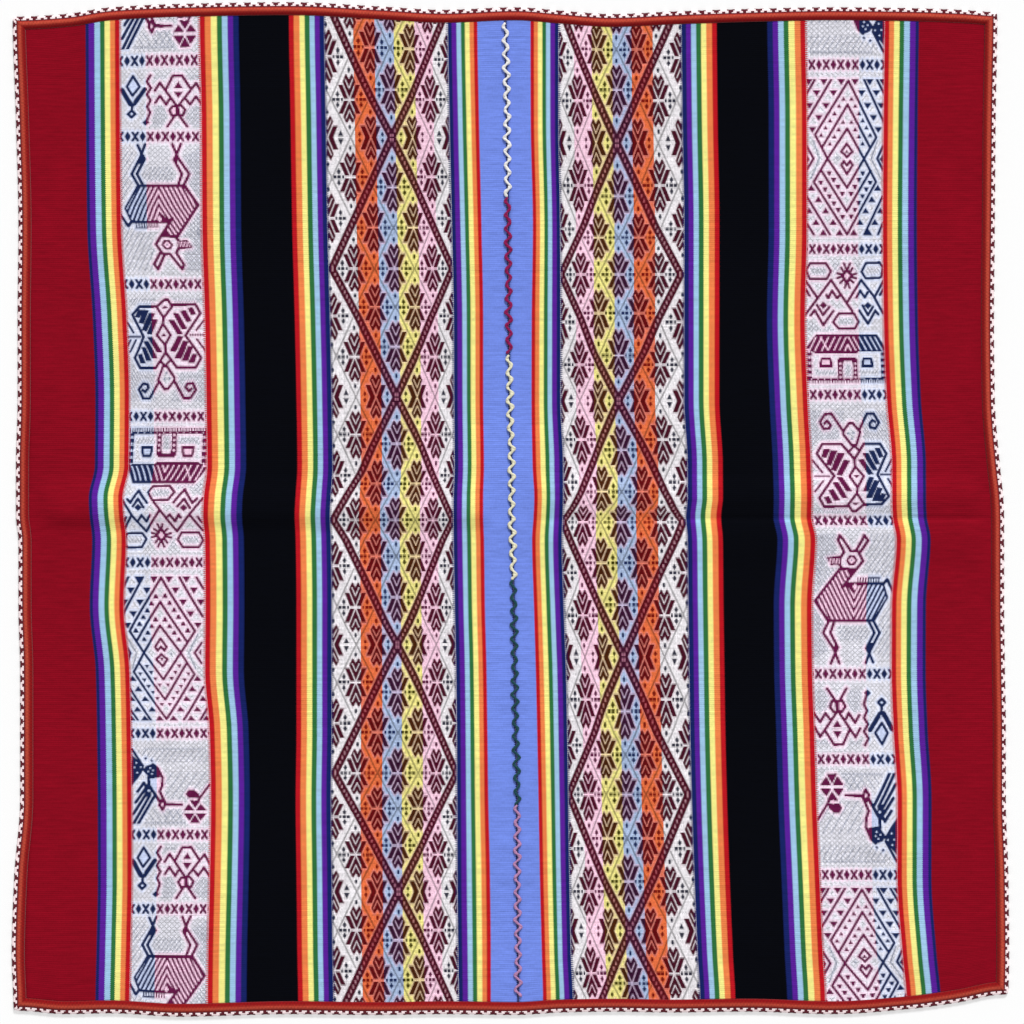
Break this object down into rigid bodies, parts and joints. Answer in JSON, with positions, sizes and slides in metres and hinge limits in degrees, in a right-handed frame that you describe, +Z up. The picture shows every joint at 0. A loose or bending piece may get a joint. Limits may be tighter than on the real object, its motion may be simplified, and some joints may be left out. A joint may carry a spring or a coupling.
{
  "type": "woven mesa cloth",
  "caption": "Square warp-faced mesa cloth of two striped panels joined by a zigzag seam, edged with a braid, lying flat with soft fold creases.",
  "frame": {"origin": "middle of the cloth's outline, on the surface that it lies on", "axes": "+X across the stripes, +Y along the stripes, +Z up from the surface"},
  "size_m": [0.5889, 0.599, 0.0046],
  "materials": {
    "panel_wool": "warp-faced wool, striped along its length",
    "braid_wool": "tightly worked rust wool with a white and maroon outer strip",
    "seam_yarn_white": "plied wool yarn",
    "seam_yarn_crimson": "plied wool yarn",
    "seam_yarn_ochre": "plied wool yarn",
    "seam_yarn_green": "plied wool yarn",
    "seam_yarn_pink": "plied wool yarn"
  },
  "bodies": {
    "root": {"left_panel": "panel_wool", "right_panel": "panel_wool", "braid_left": "braid_wool", "braid_right": "braid_wool", "braid_top": "braid_wool", "braid_bottom": "braid_wool", "seam_white": "seam_yarn_white", "seam_crimson": "seam_yarn_crimson", "seam_ochre": "seam_yarn_ochre", "seam_green": "seam_yarn_green", "seam_pink": "seam_yarn_pink"}
  },
  "joints": []
}
